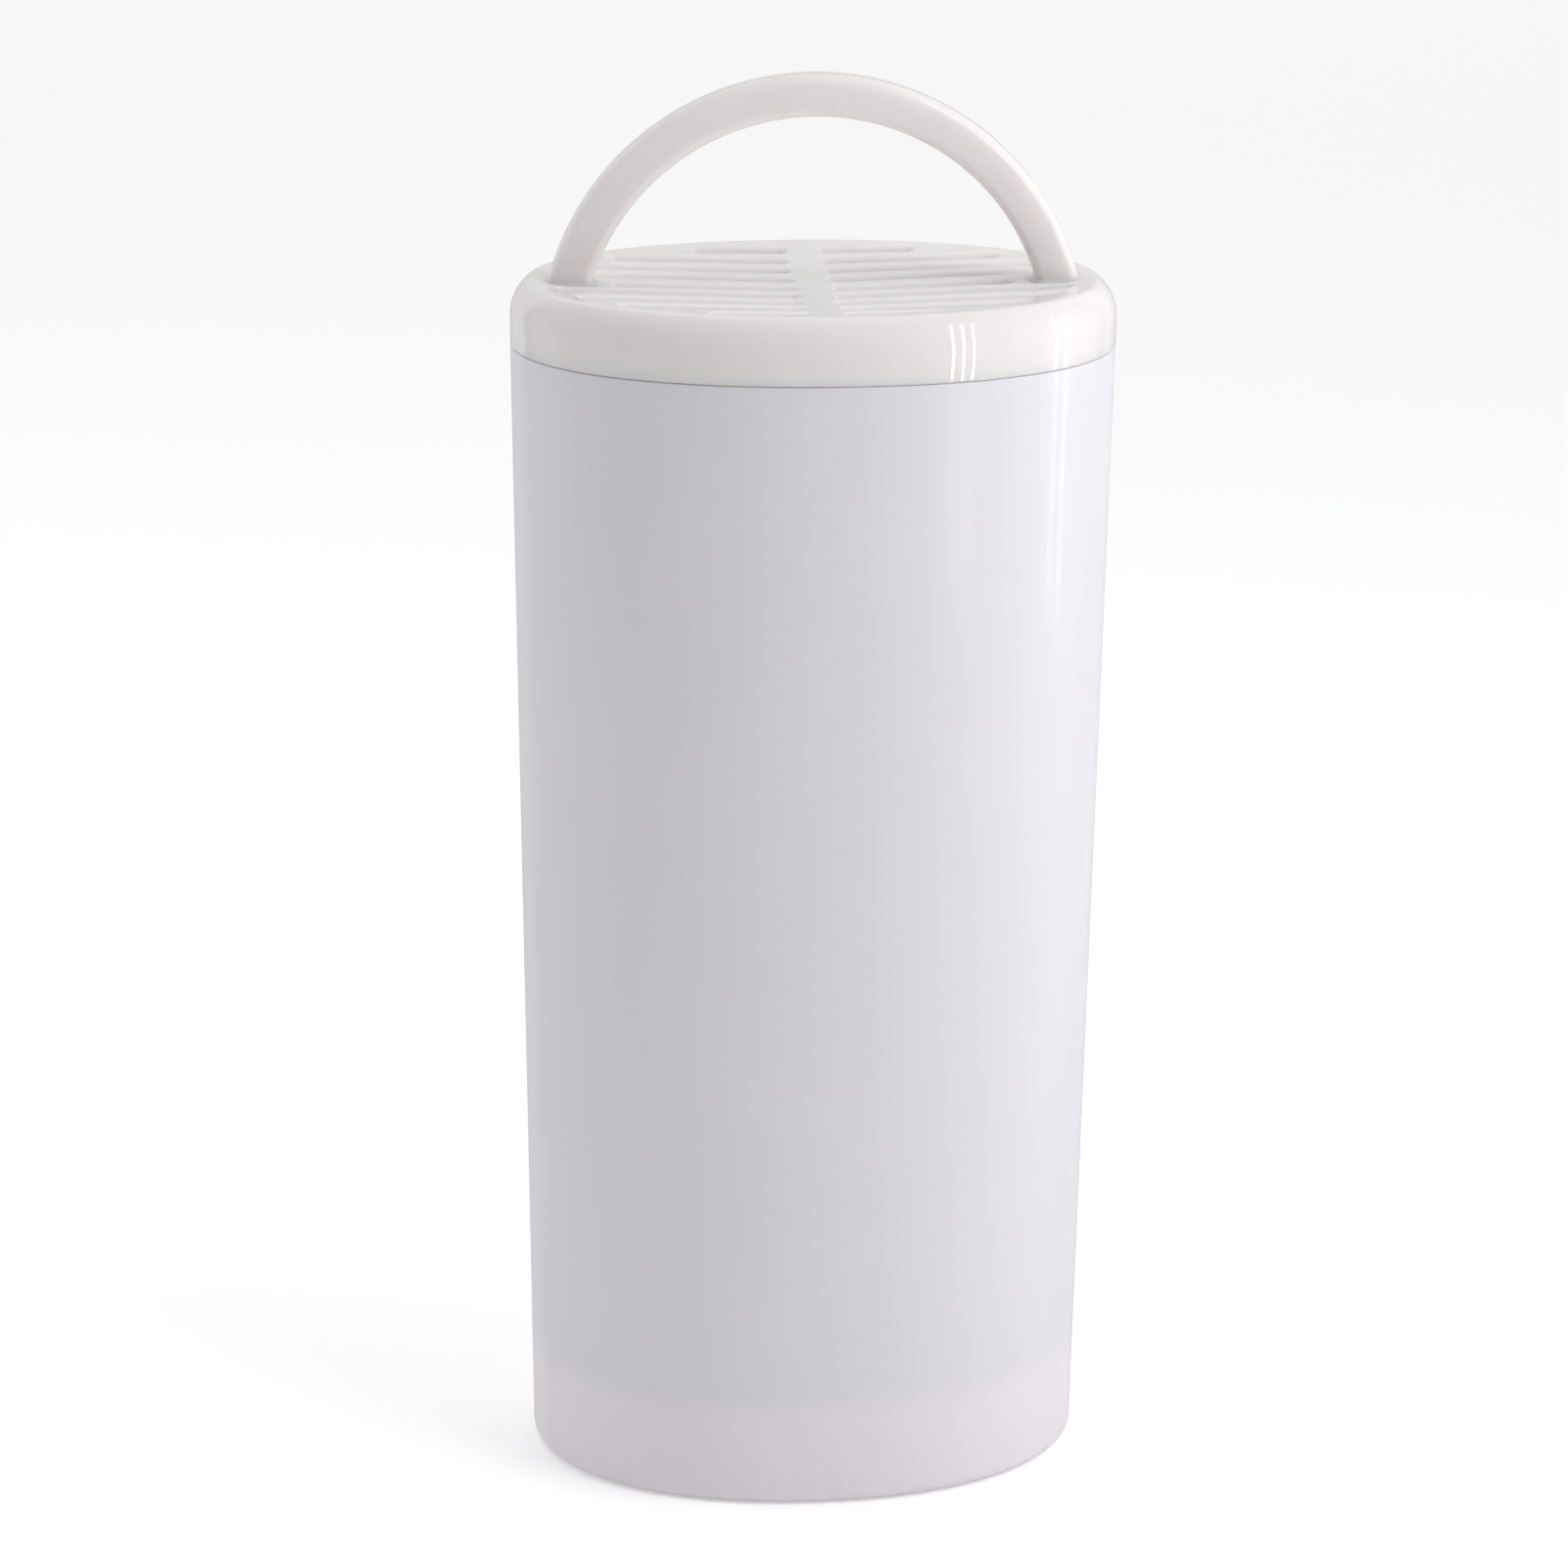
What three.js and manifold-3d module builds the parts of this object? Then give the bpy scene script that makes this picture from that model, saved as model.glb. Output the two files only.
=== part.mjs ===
// Oval cartridge for a gravity-fed water filter jug: a tapered housing that holds two beds of granules
// between pads and fine screens, a slotted grille cap set into its mouth, and an arched carry handle.
// Millimetres, +Z up. The origin is the centre of the base. X is the long axis of the oval.
import * as THREE from 'three';
import { mergeVertices } from 'three/addons/utils/BufferGeometryUtils.js';
import Module from 'manifold-3d';

const wasm = await Module();
wasm.setup();

// Overall sizes
const CAP_LENGTH = 64;
const CAP_WIDTH = 44;
const BASE_LENGTH = 61.5;
const BASE_WIDTH = 41.5;
const HOUSING_HEIGHT = 126.7;
const CAP_HEIGHT = 6.5;
const OVAL_POWER = 2.14;

// Housing
const WALL = 1.6;
const BASE_THICKNESS = 1.8;
const BASE_FILLET = 1.5;

// Cap: the shoulder is an arc that stops short of level, so it meets the dished grille in a crease
const SHOULDER_RADIUS = 4.6;
const SHOULDER_ANGLE = THREE.MathUtils.degToRad(56);
const DISH_DEPTH = 1.2;
const GRILLE_THICKNESS = 1.5;
const SPIGOT_DEPTH = 5;
const SPIGOT_WALL = 1.4;

// Slots of the grille and of the base
const SLOT_PITCH = 4;
const SLOT_WIDTH = 1.1;
const RIB_WIDTH = 4.2;
const GRILLE_MARGIN = 2.6;
const BASE_GRID_MARGIN = 6;

// Carry handle
const HANDLE_RISE = 21.4;
const HANDLE_THICKNESS = 4.4;
const HANDLE_DEPTH = 3.8;
const HANDLE_EDGE = 1.1;
const FOOT_MARGIN = 2.1;
const PEG_DEPTH = 4;
const BOSS_WALL = 1;

// Filling, from the base up
const SCREEN_THICKNESS = 0.5;
const OUTLET_PAD_THICKNESS = 8.5;
const SEPARATOR_THICKNESS = 3;
const INLET_PAD_THICKNESS = 5;
const RESIN_DEPTH = 52;
const HEADSPACE = 9.1;

// Clearances
const PART_GAP = 0.3;
const SPIGOT_CLEARANCE = 0.3;
const PEG_CLEARANCE = 0.3;
const STACK_CLEARANCE = 0.3;

// Mesh fineness
const OVAL_SEGMENTS = 64;
const FILLET_STEPS = 4;
const DISH_STEPS = 3;
const SLOT_END_STEPS = 3;
const HANDLE_STEPS = 36;
const HANDLE_CORNER_STEPS = 2;
const CUT_OVERSHOOT = 2;

// Places that follow from the sizes
const CAP_BOTTOM = HOUSING_HEIGHT + PART_GAP;
const CREASE_Z = CAP_BOTTOM + CAP_HEIGHT;
const SHOULDER_INSET = SHOULDER_RADIUS * (1 - Math.cos(SHOULDER_ANGLE));
const SHOULDER_RISE = SHOULDER_RADIUS * Math.sin(SHOULDER_ANGLE);
const GRILLE_UNDERSIDE = CREASE_Z - DISH_DEPTH - GRILLE_THICKNESS;
const SPIGOT_BOTTOM = CAP_BOTTOM - PART_GAP - SPIGOT_DEPTH;
const CREASE_HALF_LENGTH = CAP_LENGTH / 2 - SHOULDER_INSET;
const CREASE_HALF_WIDTH = CAP_WIDTH / 2 - SHOULDER_INSET;
const FOOT_REACH = CREASE_HALF_LENGTH - FOOT_MARGIN;
const HANDLE_OUTER_RADIUS = (FOOT_REACH ** 2 + HANDLE_RISE ** 2) / (2 * HANDLE_RISE);
const HANDLE_MEAN_RADIUS = HANDLE_OUTER_RADIUS - HANDLE_THICKNESS / 2;
const HANDLE_INNER_RADIUS = HANDLE_OUTER_RADIUS - HANDLE_THICKNESS;
const HANDLE_CENTRE_Z = CREASE_Z + HANDLE_RISE - HANDLE_OUTER_RADIUS;

// A ring of the oval: a superellipse, slightly squarer than an ellipse.
function ovalRing(halfLength, halfWidth, z) {
  const points = [];
  for (let i = 0; i < OVAL_SEGMENTS; i += 1) {
    const angle = (2 * Math.PI * i) / OVAL_SEGMENTS;
    const c = Math.cos(angle);
    const s = Math.sin(angle);
    const x = halfLength * Math.sign(c) * Math.abs(c) ** (2 / OVAL_POWER);
    const y = halfWidth * Math.sign(s) * Math.abs(s) ** (2 / OVAL_POWER);
    points.push([x, y, z]);
  }
  return points;
}

// A closed solid through rings listed from the bottom up, with a centre point closing each end.
// topZ lowers the centre point of the top end where that end is dished.
function ovalLoft(rings, topZ = rings.at(-1)[2]) {
  const positions = rings.flatMap((ring) => ovalRing(...ring)).flat();
  const bottomCentre = rings.length * OVAL_SEGMENTS;
  positions.push(0, 0, rings[0][2], 0, 0, topZ);
  const indices = [];
  const lastRing = (rings.length - 1) * OVAL_SEGMENTS;
  for (let i = 0; i < OVAL_SEGMENTS; i += 1) {
    const next = (i + 1) % OVAL_SEGMENTS;
    indices.push(bottomCentre, next, i);
    indices.push(bottomCentre + 1, lastRing + i, lastRing + next);
    for (let start = 0; start < lastRing; start += OVAL_SEGMENTS) {
      const above = start + OVAL_SEGMENTS;
      indices.push(start + i, start + next, above + next);
      indices.push(start + i, above + next, above + i);
    }
  }
  const geometry = new THREE.BufferGeometry();
  geometry.setAttribute('position', new THREE.Float32BufferAttribute(positions, 3));
  geometry.setIndex(indices);
  return geometry;
}

// three.js geometry to a solid that can be cut and joined.
function toSolid(geometry) {
  const bare = geometry.clone();
  bare.deleteAttribute('normal');
  bare.deleteAttribute('uv');
  const merged = mergeVertices(bare, 1e-4);
  const vertProperties = new Float32Array(merged.attributes.position.array);
  const triVerts = new Uint32Array(merged.index.array);
  return new wasm.Manifold(new wasm.Mesh({ numProp: 3, vertProperties, triVerts }));
}

function toGeometry(solid) {
  const { vertProperties, triVerts } = solid.getMesh();
  const geometry = new THREE.BufferGeometry();
  geometry.setAttribute('position', new THREE.Float32BufferAttribute(vertProperties, 3));
  geometry.setIndex(Array.from(triVerts));
  geometry.computeVertexNormals();
  return geometry;
}

// Half length and half width of the housing's outside at a height.
function housingHalves(z) {
  const share = z / HOUSING_HEIGHT;
  const halfLength = THREE.MathUtils.lerp(BASE_LENGTH, CAP_LENGTH, share) / 2;
  const halfWidth = THREE.MathUtils.lerp(BASE_WIDTH, CAP_WIDTH, share) / 2;
  return [halfLength, halfWidth];
}

// A ring that stands a set distance inside the housing's outside.
function insetRing(z, inset) {
  const [halfLength, halfWidth] = housingHalves(z);
  return [halfLength - inset, halfWidth - inset, z];
}

// Rows of round-ended slots along X inside an oval, split by the rib at x = 0.
// reachAt(y) may shorten a row where something stands in its way.
function slotCutters(halfLength, halfWidth, bottom, top, reachAt = () => Infinity) {
  const cutters = [];
  const endRadius = SLOT_WIDTH / 2;
  const rowsEachSide = Math.floor((halfWidth - endRadius) / SLOT_PITCH);
  for (let row = -rowsEachSide; row <= rowsEachSide; row += 1) {
    const y = row * SLOT_PITCH;
    const share = 1 - (Math.abs(y) / halfWidth) ** OVAL_POWER;
    const reach = Math.min(halfLength * share ** (1 / OVAL_POWER), reachAt(y));
    const near = RIB_WIDTH / 2 + endRadius;
    const far = reach - endRadius;
    if (far - near < SLOT_WIDTH) continue;
    const outline = new THREE.Shape();
    outline.absarc(near, y, endRadius, Math.PI / 2, (3 * Math.PI) / 2);
    outline.absarc(far, y, endRadius, -Math.PI / 2, Math.PI / 2);
    const settings = { depth: top - bottom, bevelEnabled: false, curveSegments: SLOT_END_STEPS };
    const slot = new THREE.ExtrudeGeometry(outline, settings).translate(0, 0, bottom);
    const right = toSolid(slot);
    const left = toSolid(slot.clone().rotateZ(Math.PI).translate(0, 2 * y, 0));
    cutters.push(right, left);
  }
  return cutters;
}

function cutAll(solid, cutters) {
  return cutters.reduce((rest, cutter) => rest.subtract(cutter), solid);
}

function buildHousing() {
  const rings = [];
  for (let step = 0; step <= FILLET_STEPS; step += 1) {
    const angle = (Math.PI / 2) * (step / FILLET_STEPS);
    const z = BASE_FILLET * (1 - Math.cos(angle));
    rings.push(insetRing(z, BASE_FILLET * (1 - Math.sin(angle))));
  }
  rings.push(insetRing(HOUSING_HEIGHT, 0));
  const inside = [insetRing(BASE_THICKNESS, WALL), insetRing(HOUSING_HEIGHT + CUT_OVERSHOOT, WALL)];
  const cup = toSolid(ovalLoft(rings)).subtract(toSolid(ovalLoft(inside)));
  const gridLength = BASE_LENGTH / 2 - BASE_GRID_MARGIN;
  const gridWidth = BASE_WIDTH / 2 - BASE_GRID_MARGIN;
  const cutters = slotCutters(gridLength, gridWidth, -CUT_OVERSHOOT, BASE_THICKNESS + CUT_OVERSHOOT);
  return toGeometry(cutAll(cup, cutters));
}

// The handle's bar: a rounded rectangle carried along the arc from one foot to the other.
// growth makes the same bar larger all round, for the sockets that its pegs fit in.
function handleBar(endDepth, growth = 0) {
  const halfThickness = HANDLE_THICKNESS / 2 + growth;
  const halfDepth = HANDLE_DEPTH / 2 + growth;
  const corner = HANDLE_EDGE + growth;
  const section = new THREE.Shape();
  section.absarc(halfDepth - corner, halfThickness - corner, corner, 0, Math.PI / 2);
  section.absarc(corner - halfDepth, halfThickness - corner, corner, Math.PI / 2, Math.PI);
  section.absarc(corner - halfDepth, corner - halfThickness, corner, Math.PI, (3 * Math.PI) / 2);
  section.absarc(halfDepth - corner, corner - halfThickness, corner, (3 * Math.PI) / 2, 2 * Math.PI);
  const endAngle = Math.asin((CREASE_Z - endDepth - HANDLE_CENTRE_Z) / HANDLE_MEAN_RADIUS);
  const points = [];
  for (let step = 0; step <= HANDLE_STEPS; step += 1) {
    const angle = THREE.MathUtils.lerp(endAngle, Math.PI - endAngle, step / HANDLE_STEPS);
    const x = HANDLE_MEAN_RADIUS * Math.cos(angle);
    const z = HANDLE_CENTRE_Z + HANDLE_MEAN_RADIUS * Math.sin(angle);
    points.push(new THREE.Vector3(x, 0, z));
  }
  const path = new THREE.CatmullRomCurve3(points);
  const settings = { steps: HANDLE_STEPS, extrudePath: path, curveSegments: HANDLE_CORNER_STEPS };
  return new THREE.ExtrudeGeometry(section, settings);
}

// Size and place of the block under the grille that holds one peg, for the foot on the +X side.
function bossBox(growth) {
  const footDrop = CREASE_Z - HANDLE_CENTRE_Z;
  const nearX = Math.sqrt(HANDLE_INNER_RADIUS ** 2 - footDrop ** 2) - PEG_CLEARANCE - BOSS_WALL - growth;
  const farX = CAP_LENGTH / 2 - WALL;
  const halfWidth = HANDLE_DEPTH / 2 + PEG_CLEARANCE + BOSS_WALL + growth;
  const bottom = CREASE_Z - PEG_DEPTH - PEG_CLEARANCE - BOSS_WALL - growth;
  const height = GRILLE_UNDERSIDE + GRILLE_THICKNESS / 2 - bottom;
  const box = new THREE.BoxGeometry(farX - nearX, 2 * halfWidth, height);
  box.translate((nearX + farX) / 2, 0, bottom + height / 2);
  return { box, nearX, halfWidth };
}

function buildCap() {
  const halfLength = CAP_LENGTH / 2;
  const halfWidth = CAP_WIDTH / 2;
  const rings = [[halfLength, halfWidth, CAP_BOTTOM]];
  for (let step = 0; step <= FILLET_STEPS; step += 1) {
    const angle = SHOULDER_ANGLE * (step / FILLET_STEPS);
    const inset = SHOULDER_RADIUS * (1 - Math.cos(angle));
    const z = CREASE_Z - SHOULDER_RISE + SHOULDER_RADIUS * Math.sin(angle);
    rings.push([halfLength - inset, halfWidth - inset, z]);
  }
  for (let step = DISH_STEPS - 1; step > 0; step -= 1) {
    const share = step / DISH_STEPS;
    const z = CREASE_Z - DISH_DEPTH * (1 - share ** 2);
    rings.push([CREASE_HALF_LENGTH * share, CREASE_HALF_WIDTH * share, z]);
  }
  const shell = toSolid(ovalLoft(rings, CREASE_Z - DISH_DEPTH));
  const spigotInset = WALL + SPIGOT_CLEARANCE;
  const spigotRings = [insetRing(SPIGOT_BOTTOM, spigotInset), insetRing(CAP_BOTTOM + PART_GAP, spigotInset)];
  const cavityInset = spigotInset + SPIGOT_WALL;
  const cavityTop = [halfLength - cavityInset, halfWidth - cavityInset, GRILLE_UNDERSIDE];
  const cavityRings = [insetRing(SPIGOT_BOTTOM - CUT_OVERSHOOT, cavityInset), cavityTop];
  const boss = bossBox(0);
  const rightBoss = toSolid(boss.box);
  const leftBoss = toSolid(boss.box.clone().rotateZ(Math.PI));
  const hollow = shell.add(toSolid(ovalLoft(spigotRings))).subtract(toSolid(ovalLoft(cavityRings)));
  const solid = hollow.add(rightBoss).add(leftBoss);
  const sockets = toSolid(handleBar(PEG_DEPTH + PEG_CLEARANCE, PEG_CLEARANCE));
  const gridLength = CREASE_HALF_LENGTH - GRILLE_MARGIN;
  const gridWidth = CREASE_HALF_WIDTH - GRILLE_MARGIN;
  const centreRowReach = boss.nearX - BOSS_WALL;
  const slotClear = boss.halfWidth + SLOT_WIDTH / 2;
  const reachAt = (y) => (Math.abs(y) < slotClear ? centreRowReach : Infinity);
  const bottom = GRILLE_UNDERSIDE - CUT_OVERSHOOT;
  const slots = slotCutters(gridLength, gridWidth, bottom, CREASE_Z + CUT_OVERSHOOT, reachAt);
  return toGeometry(cutAll(solid, [sockets, ...slots]));
}

// A sheet or bed that fills the housing's inside between two heights.
function buildLayer(bottom, thickness) {
  const inset = WALL + STACK_CLEARANCE;
  return ovalLoft([insetRing(bottom, inset), insetRing(bottom + thickness, inset)]);
}

// The mesh sheet under the grille, cut round the two bosses.
function buildInletScreen() {
  const inset = WALL + SPIGOT_CLEARANCE + SPIGOT_WALL + STACK_CLEARANCE;
  const halfLength = CAP_LENGTH / 2 - inset;
  const halfWidth = CAP_WIDTH / 2 - inset;
  const top = GRILLE_UNDERSIDE - STACK_CLEARANCE;
  const sheet = toSolid(ovalLoft([[halfLength, halfWidth, top - SCREEN_THICKNESS], [halfLength, halfWidth, top]]));
  const notch = bossBox(STACK_CLEARANCE).box;
  const otherNotch = notch.clone().rotateZ(Math.PI);
  return toGeometry(cutAll(sheet, [toSolid(notch), toSolid(otherNotch)]));
}

const FINISHES = {
  housingPlastic: { color: 0xe9e8ee, roughness: 0.42, metalness: 0 },
  capPlastic: { color: 0xf0ebea, roughness: 0.22, metalness: 0 },
  mesh: { color: 0xf3f3f0, roughness: 0.6, metalness: 0 },
  pad: { color: 0xf4f2ec, roughness: 0.95, metalness: 0 },
  carbon: { color: 0x1c1c1e, roughness: 0.85, metalness: 0 },
  resin: { color: 0xc9a566, roughness: 0.35, metalness: 0 },
};

const cartridge = new THREE.Group();

function addPiece(name, geometry, finish) {
  const mesh = new THREE.Mesh(geometry, new THREE.MeshStandardMaterial(FINISHES[finish]));
  mesh.name = name;
  cartridge.add(mesh);
}

addPiece('housing', buildHousing(), 'housingPlastic');
addPiece('grille_cap', buildCap(), 'capPlastic');
addPiece('carry_handle', toGeometry(toSolid(handleBar(PEG_DEPTH))), 'capPlastic');
addPiece('inlet_screen', buildInletScreen(), 'mesh');

// The filling is stacked from the floor of the housing up, one clearance between neighbours. The carbon
// bed takes what the other layers and the headspace under the spigot leave of the housing's depth.
const PADS_DEPTH = OUTLET_PAD_THICKNESS + SEPARATOR_THICKNESS + INLET_PAD_THICKNESS;
const CLEARANCES_DEPTH = 6 * STACK_CLEARANCE;
const FILLING_DEPTH = SPIGOT_BOTTOM - HEADSPACE - BASE_THICKNESS - CLEARANCES_DEPTH;
const CARBON_DEPTH = FILLING_DEPTH - SCREEN_THICKNESS - PADS_DEPTH - RESIN_DEPTH;
const filling = [
  ['outlet_screen', SCREEN_THICKNESS, 'mesh'],
  ['outlet_pad', OUTLET_PAD_THICKNESS, 'pad'],
  ['resin_bed', RESIN_DEPTH, 'resin'],
  ['separator_pad', SEPARATOR_THICKNESS, 'pad'],
  ['carbon_bed', CARBON_DEPTH, 'carbon'],
  ['inlet_pad', INLET_PAD_THICKNESS, 'pad'],
];
let level = BASE_THICKNESS + STACK_CLEARANCE;
for (const [name, thickness, finish] of filling) {
  addPiece(name, buildLayer(level, thickness), finish);
  level += thickness + STACK_CLEARANCE;
}

export default cartridge;
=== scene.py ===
# %% [markdown]
# An oval cartridge for a gravity-fed water filter jug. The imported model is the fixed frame: it holds
# every piece as a faceted solid. This script gives each piece the surface that a moulded, woven or
# granular thing has, and lights it softly. Everything is in metres, +Z up, base at the origin.

# %% Load the frame
import math
import bmesh
import bpy
import numpy as np
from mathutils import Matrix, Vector
from mathutils.geometry import delaunay_2d_cdt


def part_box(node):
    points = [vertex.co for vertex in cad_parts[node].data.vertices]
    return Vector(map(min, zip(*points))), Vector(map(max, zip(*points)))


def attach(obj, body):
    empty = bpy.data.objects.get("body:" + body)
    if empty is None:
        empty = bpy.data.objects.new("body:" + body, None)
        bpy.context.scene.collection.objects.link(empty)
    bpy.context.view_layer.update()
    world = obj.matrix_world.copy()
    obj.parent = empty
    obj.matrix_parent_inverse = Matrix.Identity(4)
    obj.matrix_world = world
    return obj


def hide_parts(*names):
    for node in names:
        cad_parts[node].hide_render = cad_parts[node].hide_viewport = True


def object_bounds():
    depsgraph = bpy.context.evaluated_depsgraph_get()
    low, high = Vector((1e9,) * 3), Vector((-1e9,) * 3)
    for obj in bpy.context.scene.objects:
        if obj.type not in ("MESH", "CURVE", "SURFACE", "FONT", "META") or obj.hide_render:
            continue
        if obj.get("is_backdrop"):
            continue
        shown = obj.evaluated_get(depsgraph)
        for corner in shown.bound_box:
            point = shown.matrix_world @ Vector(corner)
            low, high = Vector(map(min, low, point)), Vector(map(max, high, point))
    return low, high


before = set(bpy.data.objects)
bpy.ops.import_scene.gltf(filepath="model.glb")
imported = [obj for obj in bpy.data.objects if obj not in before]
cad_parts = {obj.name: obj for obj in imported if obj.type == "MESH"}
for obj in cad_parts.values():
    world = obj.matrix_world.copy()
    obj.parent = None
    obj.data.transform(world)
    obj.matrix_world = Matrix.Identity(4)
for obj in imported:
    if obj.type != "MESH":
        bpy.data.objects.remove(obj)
cad_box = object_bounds()
MM = 0.001
scene = bpy.context.scene
print("frame:", sorted(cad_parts))

# %% [markdown]
# The camera comes first. The cartridge is seen from a little above and a little to its left, from
# about half a metre, so the mouth's oval looks open and the base curves below it. The lens is long
# enough to keep the sides nearly straight. The tiny roll is the tilt of the view itself.

# %% Camera
CAMERA_AZIMUTH = math.radians(-4.8)
CAMERA_ELEVATION = math.radians(19.8)
CAMERA_ROLL = math.radians(0.5)
CAMERA_DISTANCE = 0.469
LENS_MM = 97.7
SENSOR_MM = 36
AIM_RIGHT = -2.7 * MM
AIM_UP = 10.4 * MM


def add_camera():
    """A camera on a sphere about the middle of the housing and cap, aimed a little beside that middle."""
    middle = Vector((0, 0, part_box("grille_cap")[1].z / 2))
    out = Vector((math.sin(CAMERA_AZIMUTH), -math.cos(CAMERA_AZIMUTH), 0)) * math.cos(CAMERA_ELEVATION)
    out.z = math.sin(CAMERA_ELEVATION)
    across = Vector((math.cos(CAMERA_AZIMUTH), math.sin(CAMERA_AZIMUTH), 0))
    aim = middle + across * AIM_RIGHT + Vector((0, 0, AIM_UP))
    place = middle + out * CAMERA_DISTANCE
    data = bpy.data.cameras.new("camera")
    data.lens = LENS_MM
    data.sensor_width = SENSOR_MM
    data.clip_start = 0.01
    camera = bpy.data.objects.new("camera", data)
    scene.collection.objects.link(camera)
    camera.location = place
    turn = (aim - place).to_track_quat("-Z", "Y").to_euler()
    camera.rotation_euler = turn
    camera.rotation_euler.rotate_axis("Z", CAMERA_ROLL)
    return camera


scene.camera = add_camera()
print("camera at", [round(v, 3) for v in scene.camera.location])

# %% [markdown]
# Sizes come from the frame's boxes. The housing is widest at its mouth and tapers evenly to its base,
# and the boxes of the layers inside tell how fast: each layer stands one wall and one clearance inside
# the housing. The oval is a superellipse, a touch squarer than an ellipse.

# %% Sizes shared by the pieces
OVAL_POWER = 2.14
WALL = 1.6 * MM
CLEARANCE = 0.3 * MM
SPIGOT_WALL = 1.4 * MM
housing_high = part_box("housing")[1]
cap_low, cap_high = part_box("grille_cap")
MOUTH_HALF = np.array([housing_high.x, housing_high.y])
MOUTH_Z = housing_high.z
JOINT_GAP = 0.03 * MM
CAP_BOTTOM = MOUTH_Z + JOINT_GAP
CREASE_Z = cap_high.z
screen_low, screen_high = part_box("outlet_screen")
screen_half = np.array([screen_high.x, screen_high.y]) + WALL + CLEARANCE
taper = (MOUTH_HALF - screen_half) / (MOUTH_Z - screen_high.z)
BASE_HALF = MOUTH_HALF - taper * MOUTH_Z
print("mouth", MOUTH_HALF / MM, "base", BASE_HALF / MM, "crease at", CREASE_Z / MM)


def housing_half(z):
    """Half length and half width of the housing's outside, a straight line from base to mouth."""
    return BASE_HALF + taper * z


# %% [markdown]
# Three helpers make every rigid surface. `oval_rings` carries a profile round the oval: each row of the
# profile is a half length, a half width and a height. `slotted_sheet` is the flat or dished skin
# between an outline and the slots cut in it, as a Delaunay mesh that keeps those edges.
# `slot_walls` lines one slot, with a small round at both lips. Their edges share the same points, so
# merging the doubles closes the whole piece.

# %% Surface helpers
OVAL_SEGMENTS = 240
SLOT_END_STEPS = 10
LIP_STEPS = 6
FREE_POINT_CLEARANCE = 0.35
SLOT_EDGE_SHARE = 0.98
DELAUNAY_TOLERANCE = 1e-9
MERGE_DISTANCE = 1e-7


def unit_oval(count=OVAL_SEGMENTS):
    """Unit superellipse: x is cos to the power 2/n and y is sin to the power 2/n, signs kept."""
    angle = np.linspace(0, 2 * np.pi, count, endpoint=False)
    c, s = np.cos(angle), np.sin(angle)
    power = 2 / OVAL_POWER
    return np.stack([np.sign(c) * np.abs(c) ** power, np.sign(s) * np.abs(s) ** power], axis=1)


def grid_faces(rows, columns):
    """Quads of a grid whose columns close on themselves, row by row."""
    r, c = np.meshgrid(np.arange(rows - 1), np.arange(columns), indexing="ij")
    nxt = (c + 1) % columns
    quads = [r * columns + c, r * columns + nxt, (r + 1) * columns + nxt, (r + 1) * columns + c]
    return np.stack(quads, axis=-1).reshape(-1, 4)


def oval_rings(profile):
    """Points at (half length, half width) times the unit oval, at each row's height."""
    profile = np.asarray(profile, float)
    ring = unit_oval()
    points = np.empty((len(profile), len(ring), 3))
    points[:, :, :2] = profile[:, None, :2] * ring[None]
    points[:, :, 2] = profile[:, None, 2]
    return points.reshape(-1, 3), grid_faces(len(profile), len(ring))


def slot_loop(slot, radius):
    """A stadium outline about the segment from near to far at height y in plan: two half circles."""
    near, far, y = slot
    angle = np.linspace(-np.pi / 2, np.pi / 2, SLOT_END_STEPS + 1)
    right = np.stack([far + radius * np.cos(angle), y + radius * np.sin(angle)], axis=1)
    left = np.stack([near - radius * np.cos(angle), y - radius * np.sin(angle)], axis=1)
    return np.concatenate([right, left])


def slotted_sheet(outline, slots, radius, height, facing, spacing=None, keep=None):
    """Delaunay mesh of the plan inside the outline and outside the slots, lifted by height(x, y). Where a
    keep function is given, only triangles whose centre it accepts stay."""
    loops = [outline] + [slot_loop(slot, radius) for slot in slots]
    points = np.concatenate(loops)
    starts = np.cumsum([0] + [len(loop) for loop in loops])
    rings = [np.arange(first, last) for first, last in zip(starts, starts[1:])]
    edges = np.concatenate([np.stack([ring, np.roll(ring, -1)], axis=1) for ring in rings])
    if spacing:
        half = np.abs(outline).max(axis=0)
        x, y = np.meshgrid(np.arange(-half[0], half[0], spacing), np.arange(-half[1], half[1], spacing))
        inner = np.stack([x.ravel(), y.ravel()], axis=1)
        room = (np.abs(inner / (half - spacing)) ** OVAL_POWER).sum(axis=1) < 1
        for slot in slots:
            room &= distance_to_slot(inner, slot) > radius + FREE_POINT_CLEARANCE * spacing
        points = np.concatenate([points, inner[room]])
    plan = [Vector(p) for p in points]
    made = delaunay_2d_cdt(plan, edges.tolist(), [], 0, DELAUNAY_TOLERANCE)
    flat = np.array([v[:] for v in made[0]])
    faces = np.array(made[2])
    centre = flat[faces].mean(axis=1)
    inside = (np.abs(centre / np.abs(outline).max(axis=0)) ** OVAL_POWER).sum(axis=1) < 1
    for slot in slots:
        inside &= distance_to_slot(centre, slot) > radius * SLOT_EDGE_SHARE
    if keep:
        inside &= keep(centre)
    faces = faces[inside] if facing > 0 else faces[inside][:, ::-1]
    return np.column_stack([flat, height(flat[:, 0], flat[:, 1])]), faces


def distance_to_slot(points, slot):
    """Distance in plan from each point to the slot's middle line."""
    near, far, y = slot
    beyond = points[:, 0] - np.clip(points[:, 0], near, far)
    return np.hypot(beyond, points[:, 1] - y)


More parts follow.
